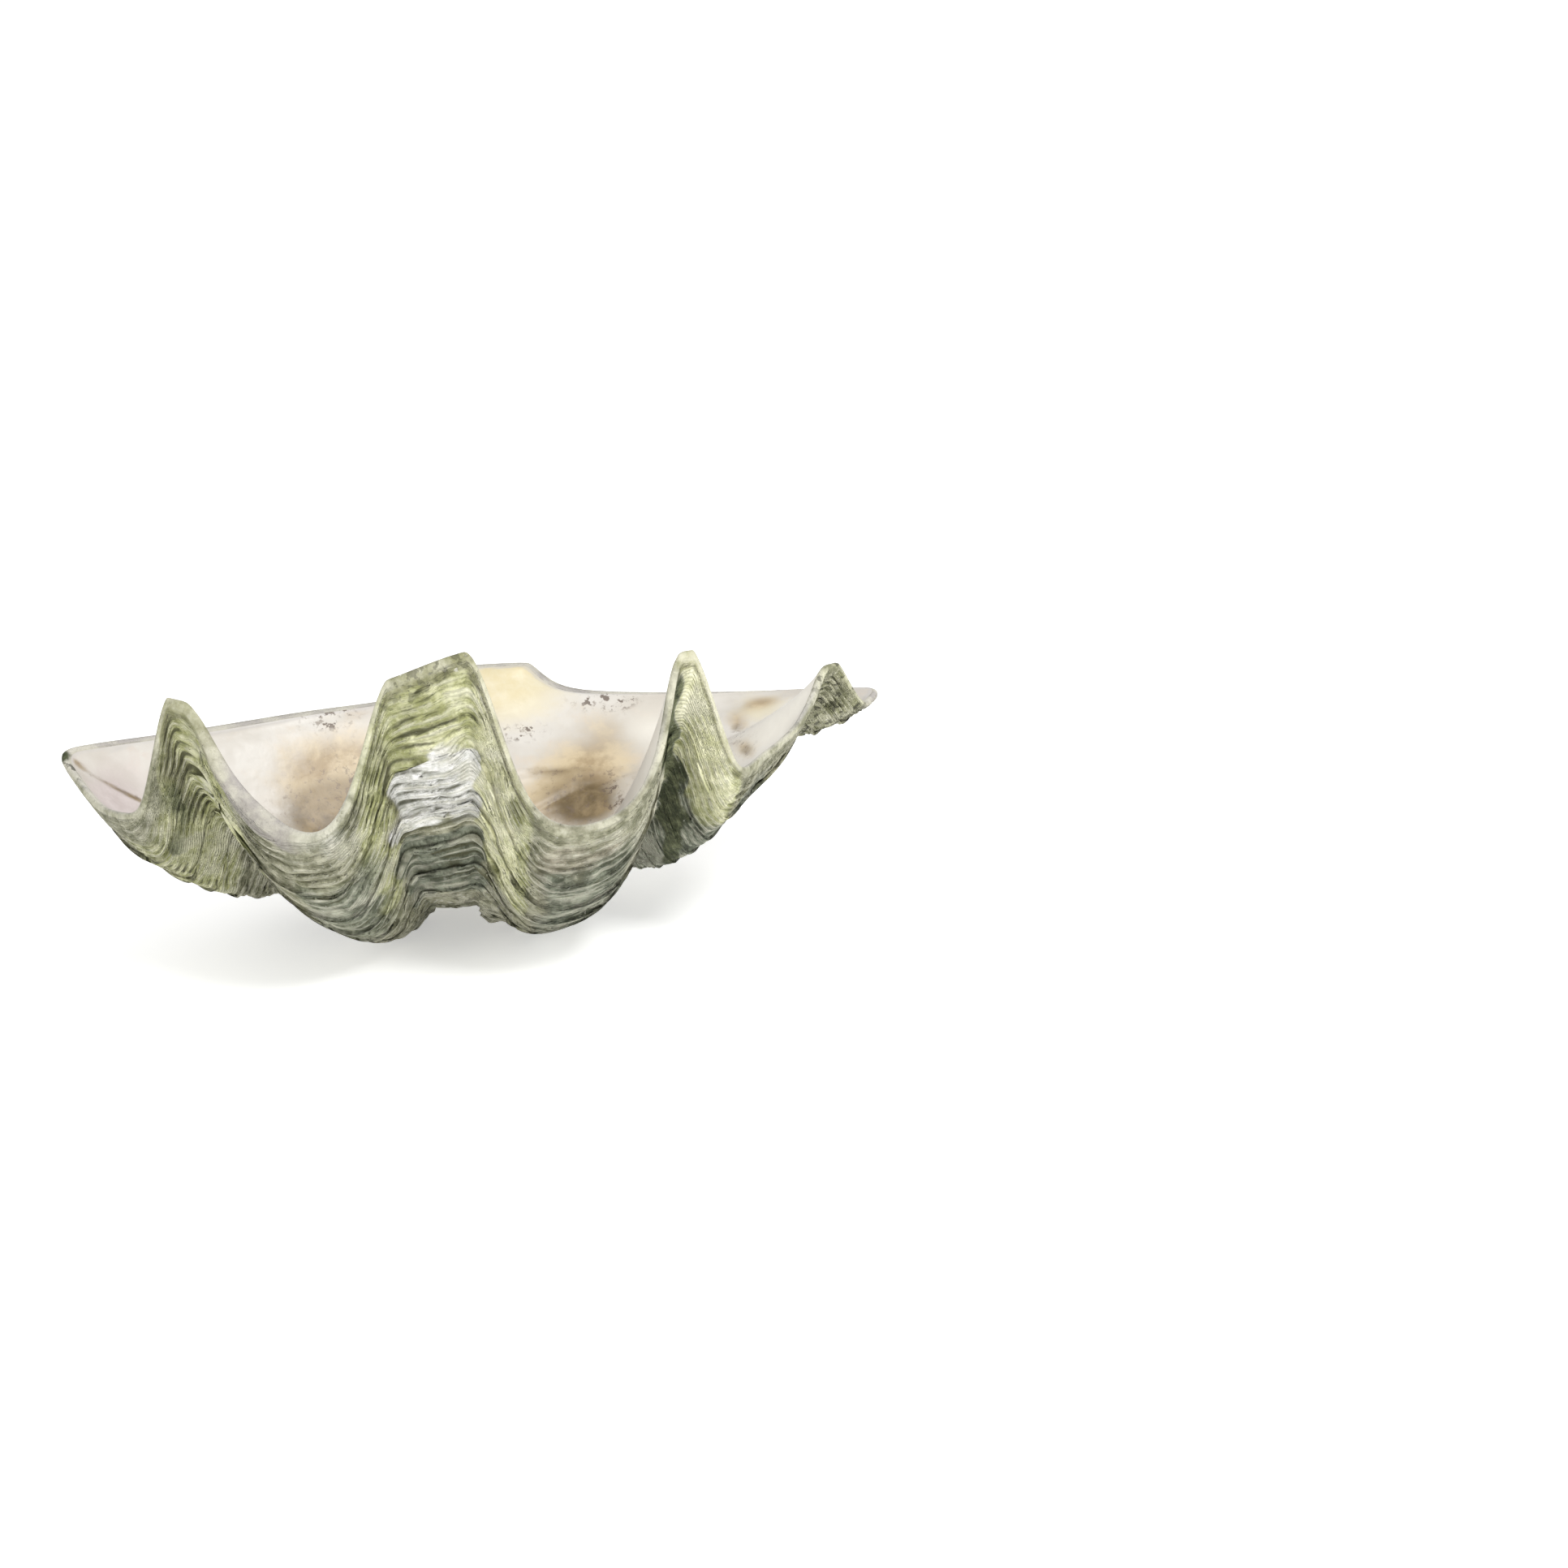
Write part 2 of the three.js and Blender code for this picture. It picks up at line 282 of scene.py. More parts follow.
# %% Helpers for uneven, natural variation
def mottled(p, size, seed, waves=24):
    """Smooth patches about `size` mm across, near 0 with a spread of 1: a sum of plane waves."""
    rng = np.random.default_rng(seed)
    aim = unit(rng.normal(size=(waves, 3)))
    pitch = size * rng.uniform(0.7, 1.4, waves)
    phase = rng.uniform(0, 2 * np.pi, waves)
    total = sum(np.cos(2 * np.pi / pitch[k] * (p @ aim[k]) + phase[k]) for k in range(waves))
    return total / math.sqrt(waves / 2)


def smooth(x, low, high):
    """3t^2 - 2t^3, t running from 0 at low to 1 at high. Low may be the larger of the two."""
    t = np.clip((x - low) / (high - low), 0, 1)
    return t * t * (3 - 2 * t)


def within(x, low, high, blur):
    """1 between low and high, 0 outside, with a soft step of `blur` on each side."""
    return smooth(x, low - blur, low + blur) * smooth(x, high + blur, high - blur)


# %% Columns: closer together where the edge bends
MOST_COLUMNS = 352
BEND_SHARE = 6.0
BEND_STEPS = 6
SHARP_BEND = 60
around = plain + added
ahead = unit(np.roll(around, -BEND_STEPS, 0) - around)
bend = np.degrees(np.arccos(np.clip((ahead * np.roll(ahead, BEND_STEPS, 0)).sum(1), -1, 1)))
closeness = np.cumsum(1 + BEND_SHARE * np.clip(bend / SHARP_BEND, 0, 1))
even = (np.arange(MOST_COLUMNS) + 0.5) / MOST_COLUMNS
pick = np.unique(np.searchsorted(closeness / closeness[-1], even))
COLUMNS = len(pick)
step = np.linalg.norm(np.roll(plain, -1, 0) - plain, axis=1)
whole_arc = np.append(0, np.cumsum(step))[:-1]
arc = whole_arc[pick][None]
LEFT, BROAD, TALL, RIGHT = (
    whole_arc[np.argmin(np.hypot(*(plain[:, :2] - fold["at"]).T))] for fold in list(FOLDS.values())[:4]
)
tongues_at = [round(v) for v in (LEFT, BROAD, TALL, RIGHT)]
print("columns:", COLUMNS, "; tongues at", tongues_at, "mm round the edge")

# %% Rows: closer together where the growth lines show
OLDEST = 0.03
SHOWN_FROM = 0.66
EDGE_END = 0.993
INNER_TURN = 0.9
LOW_DOWN = -120
outer_sizes = np.concatenate([
    np.linspace(OLDEST, LAST_LEDGE_END, 17)[:-1],
    np.linspace(LAST_LEDGE_END, SHOWN_FROM, 35)[:-1],
    np.linspace(SHOWN_FROM, EDGE_END, 152),
])
inner_sizes = np.concatenate([
    np.linspace(EDGE_END, INNER_TURN, 14),
    np.linspace(INNER_TURN, BOWL_END, 48)[1:],
])
base = outside(outer_sizes)[:, pick]
across = np.roll(base, -1, 1) - np.roll(base, 1, 1)
outward = unit(np.cross(np.gradient(base, axis=0), across))
if (outward[:, :, 2] * (base[:, :, 2] < LOW_DOWN)).sum() > 0:
    outward = -outward

# %% Growth lines cut into the outside
LINE_PITCH = 11.5
LINE_DEPTH = 3.2
BRINK = 0.84
RIB_FROM_BROAD = 135
rib = int(np.argmin(np.abs(arc[0] - (BROAD + RIB_FROM_BROAD))))
path = np.linalg.norm(np.diff(base[:, rib], axis=0), axis=1)
laid = np.append(0, np.cumsum(path))
laid = (laid[-1] - laid)[:, None]
wander = 0.5 * mottled(base, 230, 3) + 0.2 * mottled(base, 75, 4) + 0.08 * mottled(base, 30, 8)


def shingle(count):
    """How far a layer has sunk: 0 at its brink, growing as the 1.6th power, then up the next step."""
    f = count % 1
    return np.where(f < BRINK, (f / BRINK) ** 1.6, smooth(f, 1, BRINK))


LIP_FACE = 2
LINE_START = 6
FURROW_DEPTH = 5
SCALE_HEIGHT = 3.5
KNOB_HEIGHT = 12
lines = shingle(laid / LINE_PITCH + wander)
patchy = np.clip(0.8 + 0.45 * mottled(base, 90, 6) + 0.3 * mottled(base, 34, 9), 0.1, 1.7)
older = outer_sizes[:, None]
cracks = within(arc, BROAD - 44, BROAD + 42, 5) * within(older, 0.935, 0.985, 0.006)
smoother = 1 - 0.55 * within(arc, TALL - 27, TALL + 52, 10) * smooth(older, 0.74, 0.8)
smoother = smoother - 0.5 * within(arc, BROAD + 100, TALL - 50, 24)
outer_steps = np.linalg.norm(np.diff(base, axis=0), axis=2)
reach = np.vstack([np.zeros(COLUMNS), np.cumsum(outer_steps[::-1], 0)])[::-1]
near_edge = smooth(reach, LIP_FACE, LIP_FACE + LINE_START)
depth = near_edge * LINE_DEPTH * smoother * lines * np.clip(patchy + 0.8 * cracks, 0, 1.7)
furrow = within(arc, BROAD - 50, BROAD + 50, 8) * smooth(older, 0.842, 0.832)
furrow = furrow * smooth(older, SHOWN_FROM, 0.8)
scales = within(arc, LEFT + 4, LEFT + 50, 8) * within(older, 0.82, 0.985, 0.02) * (1 - lines)
knob = within(arc, BROAD + 40, BROAD + 72, 9) * within(older, 0.52, 0.69, 0.04)
lumps = near_edge * np.clip(mottled(base, 38, 7) + 0.6 * mottled(base, 17, 12), 0, 2.2)
carved = depth + FURROW_DEPTH * furrow + lumps - SCALE_HEIGHT * scales - KNOB_HEIGHT * knob
skin = base - outward * carved[:, :, None]
print("outside:", skin.shape[0], "x", skin.shape[1], "points, lines to", round(float(depth.max()), 1), "mm")

# %% [markdown]
# The lip. The scalloped edge is a few millimetres thick and rounded by wear. The last row of
# the outside is joined to the first of the hollow by a half round whose top is the edge itself.
# A bevel would catch on the growth lines beside it, and five rows of points do not.

# %% The lip and the hollow's rows
EVENING_PASSES = 60
SHELF_RISE = 4
LIP_ROWS = 5
inner = hollow(inner_sizes)[:, pick]
evened = smooth(inner_sizes, 0.975, INNER_TURN)[:, None, None]
for _ in range(EVENING_PASSES):
    around = (np.roll(inner, 1, 1) + np.roll(inner, -1, 1)) / 2
    down = np.concatenate([inner[:1], (inner[2:] + inner[:-2]) / 2, inner[-1:]])
    inner = inner + 0.5 * evened * ((around + down) / 2 - inner)
shelf = smooth(inner[:, :, 2], -67, -61) * smooth(inner[:, :, 2], -20, -61)
shelf = shelf * within(inner[:, :, 0], -10, 110, 14) * smooth(inner[:, :, 1], -210, -150)
inner = inner + SHELF_RISE * shelf[:, :, None] * unit(np.array([0, -0.7, 0.7]))
top = (outside([1.0])[0, pick] + hollow([1.0])[0, pick]) / 2
middle = (skin[-1] + inner[0]) / 2
sweep = np.linspace(0, np.pi, LIP_ROWS + 2)[1:-1][:, None, None]
lip = middle + np.cos(sweep) * (skin[-1] - inner[0]) / 2 + np.sin(sweep) * (top - middle)
rows = np.concatenate([skin, lip, inner])
first_lip = len(skin)
first_inner = len(skin) + len(lip)
print("rows:", len(rows), "lip from", first_lip, "hollow from", first_inner)

# %% [markdown]
# Where the finish changes. Algae, chalk and mud sit on the shell in places, and light and shade are
# painted on in others, so each finish gets a number at every point, 0 where it is bare and about 1
# where it is thick, and the material mixes by these numbers; the one named laid holds millimetres of
# growth instead. They could be painted by hand, but numbers follow the shape when it changes. On the
# outside a place is named by its distance round the edge and by its size s, and in the hollow by
# millimetres.


# %% Marks that the finish follows
def spot(centre, reach):
    """1 at a place in the shell, falling off as a bell over `reach` mm in x, y and z."""
    return np.exp(-(((rows - np.array(centre)) / reach) ** 2).sum(-1))


def streak(start, end, width):
    """exp(-(d / width)^2), d being the distance to the straight line between two places."""
    start, end = np.array(start, float), np.array(end, float)
    line = end - start
    along = np.clip((rows - start) @ line / (line @ line), 0, 1)
    away = np.linalg.norm(rows - start - along[:, :, None] * line, axis=2)
    return np.exp(-((away / width) ** 2))


sizes = np.concatenate([outer_sizes, np.full(len(lip), 1.0), inner_sizes])[:, None]
sizes = sizes + 0.004 * mottled(rows, 60, 11) + 0.003 * mottled(rows, 22, 13)
station = arc + 3 * mottled(rows, 45, 14)
inner_steps = np.linalg.norm(np.diff(inner, axis=0), axis=2)
inner_reach = np.vstack([np.zeros(COLUMNS), np.cumsum(inner_steps, 0)])
from_edge = np.vstack([reach, np.zeros((len(lip), COLUMNS)), inner_reach])
from_edge = np.maximum(0, from_edge + 1.2 * mottled(rows, 20, 15))
is_outer = (np.arange(len(rows)) < first_inner)[:, None]
lip_turn = np.clip((np.arange(len(rows)) - first_lip + 1) / (len(lip) + 1), 0, 1)[:, None]
place = lambda tongue, low, high, blur=8: within(station - tongue, low, high, blur)
span = lambda low, high, blur=0.012: within(sizes, low, high, blur)
on_tongue = place(LEFT, -24, 42) + place(BROAD, -66, 62) + place(TALL, -37, 46) + place(RIGHT, -40, 58)
hinge_side = 1 - within(station, LEFT - 200, RIGHT + 70, 30)

# Painted shade: slant finds the tall tongue's left flank, and the last two lines the lower side of the
# folds to its right; the shade mark darkens both.
slant = station - TALL - 300 * (0.95 - sizes)
beyond = station - TALL
turning = 0.87 + 0.001 * np.clip(beyond, 0, 110)
shaded_underside = smooth(sizes, turning + 0.03, turning - 0.05)


# %% Marks on the outside
def on_outside(value):
    """The value on the rows of the outside, 0 on the lip and in the hollow."""
    rest = np.zeros((len(rows) - len(skin), COLUMNS))
    return np.vstack([value + np.zeros((len(skin), COLUMNS)), rest])


marks = {
    "laid": on_outside(laid + LINE_PITCH * wander),
    "line": on_outside(lines * patchy * smoother * near_edge + 0.36 * (1 - near_edge)),
    "moss": 0.95 * place(BROAD, -46, 44, 5) * span(0.93, 1.1, 0.006)
        + 0.75 * place(BROAD, 44, 102) * span(0.78, 1.1, 0.03)
        + 0.6 * place(BROAD, -70, -42) * span(0.8, 1.1, 0.04)
        + 0.9 * place(TALL, -17, 60, 12) * span(0.84, 1.1, 0.05)
        + 0.85 * place(LEFT, -17, 60) * span(0.84, 1.1, 0.04)
        + 0.45 * place(BROAD, -150, -50) * span(0.74, 0.97, 0.03)
        + 0.65 * place(LEFT, -100, -12) * span(0.76, 0.98, 0.03)
        + 0.4 * place(TALL, 39, 197) * span(0.85, 0.98, 0.03)
        + 0.5 * place(RIGHT, -41, 68, 12) * span(0.6, 1.1),
    # Painted highlight: the first term lightens the tall tongue's right face where the light falls on it;
    # the two broad-tongue terms are pale sage patches of the shell.
    "highlight and pale patch": 1.1 * within(slant, 5, 60, 10) * span(0.925, 1.1, 0.04)
        + 0.9 * place(BROAD, 50, 86, 6) * span(0.82, 1.1, 0.02)
        + 0.5 * place(BROAD, -20, 35, 8) * span(0.935, 0.955, 0.006),
    # Partly painted shade, under the broad tongue, on the tall tongue's left flank, beneath the folds right
    # of it and low on every rib; partly the shell's own dark olive and grey-green patches beside the broad
    # tongue and on the right tongue.
    "shade": 1.0 * place(BROAD, -52, 52, 6) * span(0.70, 0.832, 0.008)
        + 1.4 * within(slant, -24, -2, 4) * span(0.85, 0.982, 0.012)
        + 1.1 * within(beyond, 4, 150, 10) * shaded_underside * span(0.66, 1.1, 0.03)
        + 0.7 * place(BROAD, -155, -60, 20) * span(0.74, 0.95, 0.04)
        + 0.8 * place(BROAD, 110, 215, 20) * span(0.6, 0.97, 0.04)
        + 0.6 * place(TALL, -93, 27) * span(0.6, 0.84, 0.04)
        + 0.3 * place(RIGHT, -41, 68, 12) * span(0.6, 1.1)
        + 0.45 * place(LEFT, -2, 88, 14) * span(0.5, 0.76, 0.03)
        + 0.6 * place(TALL, 67, 217, 20) * span(0.6, 0.9, 0.05)
        + 0.5 * span(0.5, 0.66, 0.06),
    # Painted shade on the left flanks of the tall and left tongues; the dark broken left end of the shell
    # and the olive brown of the right tongue are the shell's own colour.
    "deep shade": 0.95 * within(slant, -30, -2, 6) * span(0.735, 0.985, 0.015)
        + 0.6 * within(slant, -40, -12, 6) * span(0.93, 0.987, 0.004)
        + 0.35 * place(RIGHT, -41, 30, 12) * span(0.6, 1.1)
        + 0.6 * place(LEFT, -28, -16, 4) * span(0.9, 0.98, 0.03)
        + 1.2 * spot((-440, -103, 4), (8, 10, 8)),
    "chalk": place(BROAD, -46, 50, 5) * span(0.85, 0.934, 0.007)
        + 0.8 * place(LEFT, 6, 42) * span(0.84, 0.93, 0.03)
        + 0.35 * place(BROAD, -150, -60) * span(0.982, 1.1, 0.006),
    "taupe": 0.6 * place(BROAD, 105, 200, 16) * span(0.66, 0.985, 0.02) + 0.4 * span(0.0, 0.66, 0.04),
    "pitted": np.clip(place(RIGHT, -41, 68, 12) + 0.7 * span(0.5, 0.72, 0.05)
        + place(TALL, -103, -33, 12) * span(0.6, 0.9, 0.05)
        + 0.6 * place(TALL, 107, 217, 20) * span(0.9, 1.0)
        + 0.7 * place(BROAD, -50, 40, 6) * span(0.985, 1.1, 0.004)
        + place(LEFT, -230, -180, 10) * span(0.96, 1.1), 0, 1),
    "rim": (1 - 0.9 * np.clip(on_tongue, 0, 1)) * smooth(lip_turn, 0.3, 0.7) * is_outer,
    "rim line": is_outer * within(from_edge, 3, 6.5, 1.2)
        * (place(LEFT, -12, 3) + place(BROAD, -70, -38) + place(BROAD, 38, 110) + place(TALL, -47, -13))
        + 0.8 * is_outer * smooth(from_edge, 5, 3)
        * (place(LEFT, -16, 40) + place(BROAD, -44, 100) + place(TALL, -20, 62))
        + 0.6 * place(BROAD, 100, 230) * within(lip_turn, 0.2, 0.5, 0.1)
        + 0.9 * is_outer * place(BROAD, -50, -45, 2) * span(0.87, 0.975, 0.01)
        + 0.9 * is_outer * place(LEFT, -18, -12, 2) * span(0.9, 0.985, 0.01),
}

# %% Marks in the hollow
marks |= {
    "tan": np.clip(1.3 * spot((-158, -70, -58), (76, 72, 48))
        + 1.1 * spot((80, -125, -62), (50, 50, 34))
        + 0.5 * spot((112, -95, -20), (26, 36, 26))
        + 1.0 * spot((268, -128, -6), (24, 20, 16))
        + 0.8 * spot((234, -150, -18), (12, 26, 14))
        + 0.8 * spot((202, -266, -11), (10, 26, 12))
        + 0.6 * spot((0, -140, -86), (50, 46, 26))
        + 0.6 * spot((-50, -170, -112), (130, 70, 34)), 0, 1),
    "stain": np.clip(1.3 * spot((-168, -86, -86), (64, 54, 32))
        + 1.25 * spot((68, -150, -84), (44, 42, 26))
        + 0.6 * streak((15, -106, -60), (112, -141, -60), 5)
        + 0.9 * streak((-425, -105, -3), (-370, -115, -46), 5)
        + 0.9 * spot((202, -272, -13), (7, 16, 9))
        + 0.7 * spot((230, -160, -20), (8, 14, 8)), 0, 1),
    # Painted light: a lighter tone on the inner flanks of the tall and right tongues, where the light falls
    # on them, plus one pale spot further in.
    "pale": (1 - is_outer) * smooth(from_edge, 170, 50)
        * (place(TALL, -100, -10, 40) + place(RIGHT, -80, 10, 40))
        + 0.8 * spot((158, -112, -30), (28, 30, 24)),
    "cream": np.clip(1.1 * spot((10, -20, 20), (75, 60, 55))
        + 0.6 * spot((262, -140, -6), (34, 40, 30)), 0, 1),
    "blush": np.clip(1.1 * spot((-390, -150, -35), (44, 90, 36))
        + 0.6 * spot((-5, -140, -88), (50, 46, 26)), 0, 1),
    "flank": place(LEFT, 36, 128, 16) * smooth(from_edge, 9, 5)
        + 0.8 * hinge_side * smooth(from_edge, 5, 3),
    "specks": np.clip(1.3 * spot((-165, -24, -2), (26, 22, 14))
        + spot((122, -64, -4), (38, 24, 12))
        + spot((24, -72, -27), (28, 22, 8))
        + 0.6 * spot((-140, -66, -60), (60, 50, 40))
        + 0.8 * spot((215, -230, -14), (24, 50, 20))
        + 0.8 * spot((95, -168, -78), (18, 34, 30)), 0, 1),
}


# %% The mesh
def closed_skin(name, rows, marks):
    """A closed mesh: quads between the rows, each end row closed by a fan to its middle."""
    r, n = rows.shape[:2]
    points = np.vstack([rows.reshape(-1, 3), rows[0].mean(0), rows[-1].mean(0)])
    grid = np.arange(r * n).reshape(r, n)
    turned = np.roll(grid, -1, 1)
    quads = np.stack([grid[:-1], turned[:-1], turned[1:], grid[1:]], -1).reshape(-1, 4)
    start = np.stack([np.full(n, r * n), turned[0], grid[0]], -1)
    end = np.stack([np.full(n, r * n + 1), grid[-1], turned[-1]], -1)
    a, b, c, d = (points[quads[:, k]] for k in range(4))
    volume = (a * np.cross(b, c)).sum() + (a * np.cross(c, d)).sum()
    faces = [quads, start, end] if volume > 0 else [f[:, ::-1] for f in (quads, start, end)]
    mesh = bpy.data.meshes.new(name)
    mesh.from_pydata(lay_down(points).tolist(), [], [f for part in faces for f in part.tolist()])
    for key, value in marks.items():
        full = np.broadcast_to(value, (r, n)).ravel()
        full = np.append(full, [full[:n].mean(), full[-n:].mean()]).astype(np.float32)
        mesh.attributes.new(key, "FLOAT", "POINT").data.foreach_set("value", full)
    mesh.shade_smooth()
    obj = bpy.data.objects.new(name, mesh)
    bpy.context.scene.collection.objects.link(obj)
    return obj


shell = closed_skin("shell", rows, marks)
triangles = sum(len(f.vertices) - 2 for f in shell.data.polygons)
print("shell:", triangles, "triangles")


# %% [markdown]
# Finish of the outside. Dead giant clam shell is chalky lime stained by algae, moss green on the
# tongues and grey-brown low down. The growth lines are dark olive in their recesses with a painted
# highlight on each crest, and painted shade darkens the undersides, the tongues' left flanks and the
# lower ribs. Each coat covers the ones before it, so the order of the coats counts.

# %% Node helpers
FINE_PITCH = 3.6


class Nodes:
    """Small helper that adds nodes and links to one material."""

    def __init__(self, name):
        self.material = bpy.data.materials.new(name)
        self.material.use_nodes = True
        self.tree = self.material.node_tree
        self.shader = self.tree.nodes["Principled BSDF"]
        self.object = self.add("ShaderNodeTexCoord").outputs["Object"]

    def add(self, kind, **settings):
        """A new node with the given settings."""
        node = self.tree.nodes.new(kind)
        for key, value in settings.items():
            setattr(node, key, value)
        return node

    def put(self, socket, value):
        """A link where the value is a socket, otherwise the socket's own value."""
        if isinstance(value, bpy.types.NodeSocket):
            self.tree.links.new(value, socket)
        else:
            socket.default_value = value

    def mark(self, name):
        """The number that the mesh carries under this name."""
        return self.add("ShaderNodeAttribute", attribute_name=name).outputs["Fac"]

    def noise(self, scale, detail=4, rough=0.6):
        """Cloudy noise about 0.5, with about `scale` clouds to the metre."""
        node = self.add("ShaderNodeTexNoise")
        self.put(node.inputs["Vector"], self.object)
        node.inputs["Scale"].default_value = scale
        node.inputs["Detail"].default_value = detail
        node.inputs["Roughness"].default_value = rough
        return node.outputs["Fac"]

    def math(self, operation, a, b=0.0):
        """a and b put through one operation."""
        node = self.add("ShaderNodeMath", operation=operation)
        self.put(node.inputs[0], a)
        self.put(node.inputs[1], b)
        return node.outputs[0]

    def ramp(self, value, low, high):
        """0 below low, 1 above high, smooth between."""
        node = self.add("ShaderNodeMapRange", interpolation_type="SMOOTHSTEP")
        self.put(node.inputs["Value"], value)
        node.inputs["From Min"].default_value = low
        node.inputs["From Max"].default_value = high
        return node.outputs["Result"]

    def mix(self, amount, a, b):
        """a where the amount is 0, b where it is 1."""
        node = self.add("ShaderNodeMix", data_type="RGBA")
        self.put(node.inputs["Factor"], amount)
        self.put(node.inputs["A"], (*a, 1) if isinstance(a, tuple) else a)
        self.put(node.inputs["B"], (*b, 1) if isinstance(b, tuple) else b)
        return node.outputs["Result"]

    def tint(self, colour, amount, share, new):
        """The colour so far, with `share` of the new one where the amount is 1."""
        return self.mix(self.math("MULTIPLY", amount, share), colour, new)

    def bump(self, height, depth, normal=None):
        """The normal, tilted as if the height from 0 to 1 stood `depth` metres high."""
        node = self.add("ShaderNodeBump")
        node.inputs["Distance"].default_value = depth
        self.put(node.inputs["Height"], height)
        if normal is not None:
            self.put(node.inputs["Normal"], normal)
        return node.outputs["Normal"]


# %% Outside of the shell
def weathered_lime():
    """Lime under coats; a coat shows where its mark plus some noise passes a limit."""
    m = Nodes("weathered lime")
    patch = m.noise(9)
    cloud = m.noise(30, 4, 0.6)
    grain = m.noise(75, 5, 0.65)
    grit = m.noise(220, 5, 0.7)
    pits = m.noise(110, 3, 0.6)
    uneven = m.math("MULTIPLY", m.math("SUBTRACT", m.math("ADD", patch, cloud), 1.0), 0.55)
    wave = m.math("SINE", m.math("MULTIPLY", m.mark("laid"), 2 * math.pi / FINE_PITCH))
    coarse = m.ramp(grain, 0.38, 0.66)

    def covered(colour, name, dark, light, low=0.3, high=0.8):
        """The colour so far, covered where the mark and the noise together pass from low to high."""
        amount = m.ramp(m.math("ADD", m.mark(name), uneven), low, high)
        return m.mix(amount, colour, m.mix(coarse, dark, light))

    colour = m.mix(coarse, (0.19, 0.19, 0.12), (0.42, 0.41, 0.30))
    colour = covered(colour, "taupe", (0.17, 0.145, 0.11), (0.38, 0.33, 0.26))
    colour = covered(colour, "moss", (0.33, 0.34, 0.15), (0.62, 0.62, 0.38))
    # Painted highlight on the tall tongue's right face, with pale sage patches.
    colour = covered(colour, "highlight and pale patch", (0.62, 0.62, 0.36), (0.92, 0.90, 0.64), 0.1, 0.95)
    colour = covered(colour, "chalk", (0.52, 0.52, 0.47), (0.88, 0.87, 0.84))
    # Partly painted shade, partly dark olive patches.
    colour = covered(colour, "shade", (0.085, 0.095, 0.065), (0.29, 0.31, 0.235))
    colour = m.tint(colour, m.mark("rim"), 0.85, (0.50, 0.48, 0.45))
    colour = m.tint(colour, m.mark("rim line"), 0.7, (0.13, 0.12, 0.08))
    colour = m.tint(colour, m.mark("flank"), 0.7, (0.36, 0.33, 0.32))
    # Painted highlight: a pale tint along the crest of each growth line.
    crest_highlight = m.math("MULTIPLY", m.ramp(m.mark("line"), 0.30, 0.04), m.ramp(cloud, 0.38, 0.6))
    colour = m.tint(colour, crest_highlight, 0.5, (0.68, 0.66, 0.54))
    # Darker in the recess behind each growth-line crest.
    groove_dark = m.math("MULTIPLY", m.ramp(m.mark("line"), 0.42, 1.05), m.ramp(cloud, 0.25, 0.5))
    colour = m.tint(colour, groove_dark, 0.82, (0.085, 0.085, 0.045))
    # Painted shade on the tongues' left flanks, with the shell's own dark end and olive brown.
    colour = covered(colour, "deep shade", (0.05, 0.06, 0.03), (0.17, 0.185, 0.10))
    fine = m.math("MULTIPLY", m.ramp(wave, 0.2, 1.0), m.ramp(cloud, 0.40, 0.6))
    colour = m.tint(colour, fine, 0.35, (0.11, 0.11, 0.06))
    colour = m.tint(colour, m.ramp(grit, 0.62, 0.72), 0.5, (0.75, 0.74, 0.66))
    colour = m.tint(colour, m.ramp(grit, 0.40, 0.30), 0.55, (0.07, 0.065, 0.04))
    pit = m.math("MULTIPLY", m.ramp(pits, 0.53, 0.60), m.mark("pitted"))
    colour = m.tint(colour, pit, 0.75, (0.05, 0.05, 0.03))
    chip = m.math("MULTIPLY", m.ramp(pits, 0.36, 0.31), m.mark("pitted"))
    colour = m.tint(colour, chip, 0.8, (0.72, 0.70, 0.62))
    m.put(m.shader.inputs["Base Color"], colour)
    m.put(m.shader.inputs["Roughness"], 0.85)
    m.put(m.shader.inputs["Specular IOR Level"], 0.25)
    normal = m.bump(wave, 0.0006)
    normal = m.bump(grain, 0.004, normal)
    m.put(m.shader.inputs["Normal"], m.bump(grit, 0.0015, normal))
    return m.material


# %% [markdown]
# Finish of the inside. It is smooth as porcelain, cream by the hinge and faintly rosy at one
# end, with tan and brown stains where mud lay, and a painted lighter tone on the inner flanks where
# light falls. One plain colour would look like plastic, so noise breaks up every stain, and small
# dark specks gather at the places marked for them.

